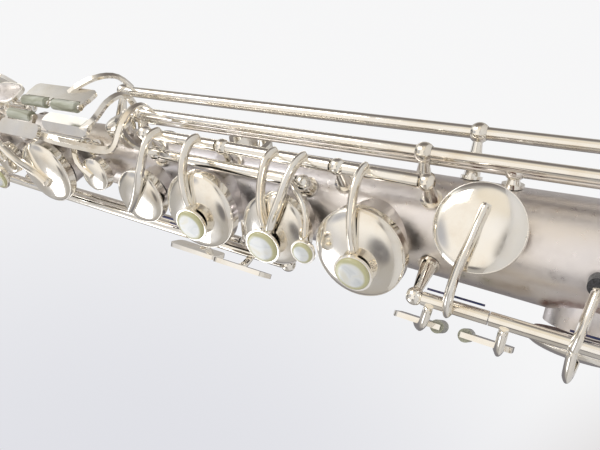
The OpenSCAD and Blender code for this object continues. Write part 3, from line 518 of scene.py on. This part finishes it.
def lathe(name, profile, centre, axis, sides=64, edge_value=False):
    """A closed turned piece. Its profile runs from the pole underneath, out and over to the pole
    on top, so that the faces point outwards; rings at a pole are welded to one point."""
    points, faces = turned(profile, centre, axis, sides)
    keep, index = [], np.empty(len(points), int)
    count = 0
    profile = np.asarray(profile, float)
    for row in range(len(profile)):
        pole = profile[row, 0] < 1e-9
        index[row * sides:(row + 1) * sides] = count if pole else count + np.arange(sides)
        keep.append(np.arange(row * sides, row * sides + (1 if pole else sides)))
        count += 1 if pole else sides
    keep = np.concatenate(keep)
    welded = [tuple(dict.fromkeys(index[list(face)])) for face in faces]
    welded = [face for face in welded if len(face) > 2]
    values = None
    if edge_value:
        values = (np.repeat(profile[:, 0], sides) / profile[:, 0].max())[keep]
    return put_mesh(name, points[keep], welded, values)


def dress(piece, finish, body, *stands_for):
    """Gives a new piece its finish, the body it rides on, and the nodes that it stands for."""
    piece.data.materials.append(finish.material)
    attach(piece, body)
    if stands_for:
        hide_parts(*stands_for)
    return piece


def rounded(radius, low, high, bevel, crown=0.0, steps=5):
    """Profile of a disc with rounded edges: flat underneath, a quarter circle at each corner of
    the given bevel, and a parabola of the given crown across the top."""
    turn = np.linspace(0, np.pi / 2, steps)
    under = np.stack([radius - bevel + bevel * np.sin(turn), low + bevel - bevel * np.cos(turn)], 1)
    over = np.stack([radius - bevel + bevel * np.cos(turn), high - bevel + bevel * np.sin(turn)], 1)
    inner = np.linspace(radius - bevel, 0, 9)[1:]
    top = np.stack([inner, high + crown * (1 - (inner / (radius - bevel)) ** 2)], 1)
    return np.concatenate([[[0, low]], under, over, top])


# %% [markdown]
# Each pearl takes the place of the plain disc in the frame and rides on the same key.

# %% Finger pearls
PEARLS = [name for name in nodes if name.endswith("_pearl")]
for name in PEARLS:
    centre, axis, radius, thick = measure_disc(name)
    shape = rounded(radius, -thick / 2, thick / 2 + 0.3 * MM, 0.8 * MM, 0.3 * MM)
    pearl_disc = lathe(name + "_disc", shape, centre, axis, 72, edge_value=True)
    dress(pearl_disc, pearl, body_of[name], name)
print("pearls", len(PEARLS))

# %% [markdown]
# A pad is felt wrapped in thin leather and set in its cup with shellac. Its face bulges a little
# past the cup's wall and is pressed into a ring where it meets the chimney.

# %% Pads
PADS = [name for name in nodes if name.endswith("_pad")]
for name in PADS:
    centre, axis, radius, thick = measure_disc(name)
    low, high = -thick / 2, thick / 2
    ring = radius * 0.72
    face = [(0, low), (ring * 0.7, low), (ring - 0.5 * MM, low + 0.05 * MM)]
    face += [(ring, low + 0.22 * MM), (ring + 0.5 * MM, low + 0.05 * MM)]
    turn = np.linspace(0, np.pi / 2, 6)
    bevel = 0.9 * MM
    edge = np.stack([radius - bevel + bevel * np.sin(turn), low + bevel - bevel * np.cos(turn)], 1)
    back = [(radius, high - 0.4 * MM), (radius - 0.4 * MM, high), (radius * 0.5, high), (0, high)]
    shape = np.concatenate([face, edge, back])
    pad_leather = lathe(name + "_leather", shape, centre, axis, 72)
    dress(pad_leather, leather[slot_of[name]], body_of[name], name)
print("pads", len(PADS))

# %% [markdown]
# ## Keys
# The keywork is silver too, but polished. A cup is pressed from sheet and has a low dome and a thin
# rolled lip round its edge. An arm is forged, with a flat foot and a rounded back, and is soldered
# across the cup. Both lie in places given along the horn, round it, and out from its wall.

# %% Places along the horn
TIP_R, FOOT_R, BELL_LEN, HORN_LEN = 4.95, 23.1, 56.0, 630.0
TAPER = (FOOT_R - TIP_R) / (HORN_LEN - BELL_LEN)
TILT = np.arctan(TAPER)


def place(z, turn, height):
    """Points in metres at stations z (mm), turned by degrees from the front (-Y) towards +X, and
    raised by height (mm) square to the tapering wall: radius R(z) + h cos(tilt), level z + h sin(tilt)."""
    z, turn, height = np.broadcast_arrays(*(np.asarray(v, float) for v in (z, np.radians(turn), height)))
    radius = TIP_R + TAPER * (HORN_LEN - z) + height * np.cos(TILT)
    return np.stack([radius * np.sin(turn), -radius * np.cos(turn), z + height * np.sin(TILT)], -1) * MM


def wall_normal(turn):
    """Unit vector square to the wall at an angle round the horn."""
    turn = np.radians(turn)
    return np.array([np.cos(TILT) * np.sin(turn), -np.cos(TILT) * np.cos(turn), np.sin(TILT)])


pivot_of = {joint["child"]: joint for joint in frame["joints"]}
STAND_OPEN = {name + "_key" for name in "low_bb low_b low_c d e f f_sharp g bis a b c".split()}


def opened(points, body):
    """Points of a key drawn closed, turned to where it rests. A key that stands open is turned by
    how far its joint can still close, angle a, as v cos a + (k x v) sin a + k (k.v)(1 - cos a)."""
    if body not in STAND_OPEN:
        return np.asarray(points)
    pivot = pivot_of[body]
    angle = np.radians(-pivot["range_deg"][0])
    axis, start = np.array(pivot["axis"]), np.array(pivot["pos_m"])
    arm = np.asarray(points) - start
    across = np.cross(axis, arm) * np.sin(angle)
    return start + arm * np.cos(angle) + across + np.outer(arm @ axis, axis) * (1 - np.cos(angle))


# %% [markdown]
# A cup is one turned profile: the lip, rounded over its edge, and a dome that is a quarter of an
# ellipse, a fifth as high as the cup is wide from its middle.

# %% Domed cups
# body, station and angle of its tone hole, radius of the cup (mm, degrees). The bis cup passes
# within a hair of the G key when that closes, so it keeps the frame's own surface.
CUPS = [
    ("low_bb_key", 84, 82, 17.5),
    ("low_b_key", 121, 45, 17),
    ("csharp_key", 155, 155, 14.5),
    ("low_c_key", 188, -59, 15.5),
    ("eflat_key", 222.3, 40, 13.8),
    ("d_key", 257.5, 1, 15.8),
    ("e_key", 289.5, 1, 13.2),
    ("f_key", 322.8, -1, 15.3),
    ("f_sharp_key", 352.5, -4, 11.3),
    ("trill_key", 374, 74, 6),
    ("gsharp_key", 380, 6, 7.2),
    ("g_key", 408.5, -8, 14.2),
    ("a_key", 455, 0, 9.2),
    ("b_key", 477, 0, 8.6),
    ("c_key", 497, 0, 6.6),
    ("side_bb_key", 439, -110, 6.2),
    ("side_c_key", 464, -92, 6),
    ("palm_d_key", 511, 84, 5.6),
    ("palm_eflat_key", 536, 22, 5.4),
    ("palm_f_key", 554, 88, 5.2),
]
EDGE = 7.7
for body, z, turn, radius in CUPS:
    rise = 0.2 * radius
    sweep = np.linspace(0, np.pi / 2, 16)[:-1]
    lip = [(0, EDGE - 0.3), (radius - 0.6, EDGE - 0.3), (radius, EDGE - 0.25), (radius + 0.1, EDGE - 0.1)]
    lip += [(radius + 0.1, EDGE + 0.1), (radius, EDGE + 0.26), (radius - 0.16, EDGE + 0.3)]
    dome = np.stack([(radius - 0.42) * np.cos(sweep), EDGE + 0.16 + rise * np.sin(sweep)], 1)
    shape = np.concatenate([lip, dome, [[0, EDGE + 0.16 + rise]]]) * MM
    base, axis = place(z, turn, 0.0), wall_normal(turn)
    ends = opened([base, base + axis], body)
    dress(lathe(body + "_cup_" + str(round(z)), shape, ends[0], ends[1] - ends[0], 96), polished, body)
print("cups", len(CUPS))

# %% [markdown]
# An arm follows a smooth curve through a few chosen places. Its section is carried along that curve,
# upright on the horn's wall, and is left out where it would meet the key's own pearl.

# %% Forged arms
# body, width, height of the ridge, and stations, angles and heights along its foot (mm, degrees).
# Two arms that pass a neighbour closely at a joint's limit keep the frame's own surface.
ARMS = [
    ("low_bb_key", 2.6, 2.8, [(84, 119.5, 16.6), (84, 108, 18.2), (84, 95, 15), (84, 82, 10.82),
        (84, 72, 11.02)]),
    ("low_b_key", 2.6, 2.8, [(121, 91, 10.8), (121, 78, 15), (121, 62, 13.4), (121, 45, 10.72),
        (121, 36, 10.82)]),
    ("csharp_key", 2.4, 2.2, [(155, 107, 6.4), (155, 116, 8.8), (155, 124, 9.6), (155, 132, 12),
        (155, 155, 10.22), (155, 163, 10.32)]),
    ("low_c_key", 2.6, 2.8, [(190, -14, 14.6), (189.6, -28, 17.4), (189, -43, 15), (188, -58, 10.42),
        (188, -67, 10.52)]),
    ("low_c_key", 2.6, 2.8, [(190, -14, 14.8), (189.3, -2, 14), (188.6, 8, 10.6), (188, 16, 7.6)]),
    ("low_c_key", 2.6, 2.8, [(209, -14, 14.8), (209.4, -26, 17.4), (210, -38, 16.4), (211, -46, 15.4)]),
    ("eflat_key", 2.6, 2.8, [(226, -14, 14.8), (225.5, 0, 16.8), (224.5, 16, 14.4), (223, 30, 11.8),
        (222.3, 41, 10.08), (221, 54, 10.68)]),
    ("eflat_key", 2.6, 2.8, [(232, -14, 14.8), (233.5, -26, 17.4), (236, -38, 16.4), (238, -46, 15.4)]),
    ("d_key", 2.6, 2.8, [(260.5, 61, 11.8), (260.5, 51, 14.6), (260, 36, 14.2), (259, 20, 12.4),
        (258, 6, 10.28), (256.7, -7, 9.88)]),
    ("e_key", 2.6, 2.8, [(294.5, 61, 11.8), (294.5, 51, 14.4), (294, 34, 13), (292.5, 16, 11.4),
        (290, 0, 9.96)]),
    ("e_key", 2.6, 2.8, [(283, 61, 11.8), (283.5, 51, 14.6), (285, 30, 14.4), (288, 10, 12.6),
        (291, -7, 9.86)]),
    ("f_key", 2.6, 2.8, [(328, 61, 11.8), (328, 51, 14.6), (327, 34, 14), (325, 16, 12),
        (323.5, 3, 10.18), (322.3, -7, 9.78)]),
    ("f_sharp_key", 2.6, 2.8, [(346.5, 61, 11.8), (346.5, 50, 14.6), (346.5, 30, 13.6),
        (348.5, 14, 11.4), (352.5, -3, 9.68), (357, -18, 9.88)]),
    ("trill_key", 2, 2, [(288, 47, 6.6), (284, 40, 10.2), (279, 31, 11.6), (276, 22, 13.2),
        (275, 12, 14.8), (274.3, 4, 15.1)]),
    ("gsharp_key", 2.6, 2, [(426.5, 40, 7), (427.5, 48, 11), (429.5, 56, 14.6), (431, 62, 16.4)]),
    ("g_key", 2.6, 2.8, [(446, 48, 10.6), (440, 38, 13.8), (430, 24, 14.6), (420, 10, 13),
        (411, -4, 10.06), (404, -16, 10.26)]),
    ("g_key", 2.6, 2.8, [(449, 48, 10.8), (447.2, 38, 14.3), (443, 22, 15.1), (437, 2, 14.4),
        (434, -10, 11.9)]),
    ("bis_key", 2.2, 1.7, [(456.5, 48, 10.4), (452, 38, 10.2), (443, 22, 10), (437, 6, 9.6),
        (434, -4, 8.86)]),
    ("a_key", 2.6, 2.8, [(464, 48, 10.6), (463, 38, 13.4), (460, 20, 12.6), (457, 5, 10),
        (455, -8, 8.46)]),
    ("b_key", 2.6, 2.8, [(482, 48, 10.6), (481.5, 38, 13.2), (480, 20, 12.4), (478, 5, 10),
        (477, -8, 8.34)]),
    ("c_key", 2.4, 2.2, [(499, 48, 10.6), (499, 38, 12.8), (498, 20, 11.4), (497, 2, 8.74)]),
    ("side_bb_key", 2.2, 2, [(439, -76, 13), (439, -88, 12.4), (439, -99, 10.4), (439, -110, 8.66)]),
    ("side_bb_key", 2.4, 2.2, [(334, -76, 13), (334.5, -69, 16), (335, -62, 17.2)]),
    ("side_c_key", 2.2, 2, [(464, -58, 13), (464, -70, 13), (464, -82, 10.6), (464, -92, 8.62)]),
    ("side_c_key", 2.4, 2.2, [(310, -58, 13), (310, -51, 16), (310, -46, 17)]),
    ("palm_d_key", 2.2, 2, [(511, 112, 9.8), (511, 102, 11), (511, 92, 9.6), (511, 84, 8.54)]),
    ("palm_d_key", 2.4, 2.2, [(476, 112, 10), (476.5, 124, 14), (478, 134, 14.8)]),
    ("palm_eflat_key", 2.2, 2, [(536, 50, 10.3), (536, 40, 11.4), (536, 30, 9.6), (536, 22, 8.5)]),
    ("palm_eflat_key", 2.4, 2.2, [(524, 50, 10.4), (519, 60, 13.6), (509, 72, 15.2), (500, 80, 15.4)]),
    ("palm_f_key", 2.2, 2, [(554, 118, 9.8), (554, 107, 11), (554, 96, 9.6), (554, 88, 8.46)]),
    ("palm_f_key", 2.4, 2.2, [(531, 118, 10), (530, 130, 14), (529, 138, 14.8)]),
    ("octave_lever", 3, 2, [(470, 158, 7), (470, 168, 9.4), (470, 180, 8.2)]),
    ("octave_lever", 2.2, 2, [(489, 158, 6.8), (493, 148, 9.4), (499, 146, 10.4), (504, 150, 9.2)]),
    ("octave_vent_key", 2.2, 2, [(566, 158, 7), (570, 146, 9.6), (576, 139, 9.6), (581, 133, 7.4)]),
    ("octave_vent_key", 2.2, 1.6, [(506, 158, 6.6), (505, 152, 7), (504.5, 147, 7)]),
]


def smooth_path(path, steps):
    """A Catmull-Rom curve through points: between p1 and p2 it is half of 2 p1 + (p2 - p0) t +
    (2 p0 - 5 p1 + 4 p2 - p3) t^2 + (3 p1 - p0 - 3 p2 + p3) t^3."""
    path = np.asarray(path, float)
    padded = np.concatenate([path[:1], path, path[-1:]])
    p0, p1, p2, p3 = (padded[i:len(path) - 1 + i, None] for i in range(4))
    t = np.linspace(0, 1, steps, endpoint=False)[None, :, None]
    curve = 2 * p1 + (p2 - p0) * t + (2 * p0 - 5 * p1 + 4 * p2 - p3) * t**2
    curve = curve + (3 * p1 - p0 - 3 * p2 + p3) * t**3
    return np.concatenate([curve.reshape(-1, 3) / 2, path[-1:]])


def forged(name, spots, up, width, ridge):
    """A bar carried along spots, closed at both ends. Across it x = a cos f; its back rises as
    y = 0.45 h + 0.65 h (1 - |cos f|^2.2), its foot sinks as y = 0.45 h - 0.5 h |sin f|^0.6, and
    both shrink to a rounded nose over the last millimetre at each end."""
    along = np.gradient(spots, axis=0)
    along /= np.linalg.norm(along, axis=1, keepdims=True)
    side = np.cross(along, up)
    side /= np.linalg.norm(side, axis=1, keepdims=True)
    rise = np.cross(side, along)
    turn = np.linspace(0, 2 * np.pi, 20, endpoint=False)
    back, foot = 0.65 * (1 - np.abs(np.cos(turn)) ** 2.2), -0.5 * np.abs(np.sin(turn)) ** 0.6
    half = np.where(np.sin(turn) >= 0, back, foot)
    gone = np.concatenate([[0], np.cumsum(np.linalg.norm(np.diff(spots, axis=0), axis=1))])
    left = np.minimum(gone, gone[-1] - gone) / (1.0 * MM)
    nose = np.sqrt(np.clip(1 - (1 - np.clip(left, 0, 1)) ** 2, 0.06, 1))[:, None]
    skin = 0.2 if width > 2.5 else 0.08
    x = (width / 2 + skin) * MM * np.cos(turn) * nose
    y = (0.45 + half * nose) * (ridge + 0.75 * skin) * MM
    points = spots[:, None] + x[..., None] * side[:, None] + y[..., None] * rise[:, None]
    rows, columns = points.shape[:2]
    faces = [tuple(face) for face in grid_faces(rows, columns)]
    faces += [tuple(range(columns))[::-1], tuple(range((rows - 1) * columns, rows * columns))]
    return put_mesh(name, points.reshape(-1, 3), faces)


# The low C touch is drawn where it rests, so its arm alone is not turned
LOW_C_TOUCH_START = (209, -14, 14.8)
pearl_of = {body_of[name]: measure_disc(name) for name in PEARLS}
for number, (body, width, ridge, path) in enumerate(ARMS):
    curve = smooth_path(path, 9)
    spots = place(*curve.T)
    turn = np.radians(curve[:, 1])
    up = np.stack([np.sin(turn), -np.cos(turn), 0 * turn], 1)
    if path[0] != LOW_C_TOUCH_START:
        tips = opened(spots + up * MM, body)
        spots = opened(spots, body)
        up = (tips - spots) / MM
    if body in pearl_of:
        centre, _, radius, _ = pearl_of[body]
        clear = np.linalg.norm(spots - centre, axis=1) > radius + 0.8 * MM
        spots, up = spots[clear], up[clear]
    dress(forged(f"{body}_arm_{number}", spots, up, width, ridge), polished, body)
print("arms", len(ARMS))

# %% [markdown]
# The G sharp touch is worked by the little finger as it slides, so its top is cut with fine ribs.
# Its outline is a soft rectangle and the ribs are a cosine across it, both from one round grid.

# %% Ribbed G sharp touch
RIB_SIDES = 120
rib_z, rib_turn, rib_level, rib_half, rib_reach, rib_pitch = 433, 69, 18.75, 5.6, 8.1, 0.9
rib_base, rib_out = place(rib_z, rib_turn, rib_level), wall_normal(rib_turn)
rib_side, rib_along = frame_on(rib_out)
turn = np.linspace(0, 2 * np.pi, RIB_SIDES, endpoint=False)
share = np.concatenate([np.linspace(0.004, 1, 60), [1.0]])[::-1, None]
outline = 1 / (np.abs(np.cos(turn)) ** 3.5 + np.abs(np.sin(turn)) ** 3.5) ** (1 / 3.5)
rib_x = share * outline * np.cos(turn) * rib_half
rib_y = share * outline * np.sin(turn) * rib_reach
rib_wave = 0.5 + 0.5 * np.cos(2 * np.pi * rib_y / rib_pitch)
rib_h = 0.12 + 0.3 * rib_wave * np.clip((1 - share) * 12, 0, 1)
rib_h[0] = -0.3
rib_local = rib_x[..., None] * rib_side + rib_y[..., None] * rib_along
rib_points = rib_base + MM * (rib_local + rib_h[..., None] * rib_out)
rib_faces = [tuple(face) for face in grid_faces(*rib_h.shape)]
rib_faces += [tuple(range(RIB_SIDES))[::-1], tuple(range(rib_h.size - RIB_SIDES, rib_h.size))]
dress(put_mesh("gsharp_touch_ribs", rib_points.reshape(-1, 3), rib_faces), satin, "gsharp_key")

# %% Sizes and the end
low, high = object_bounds()
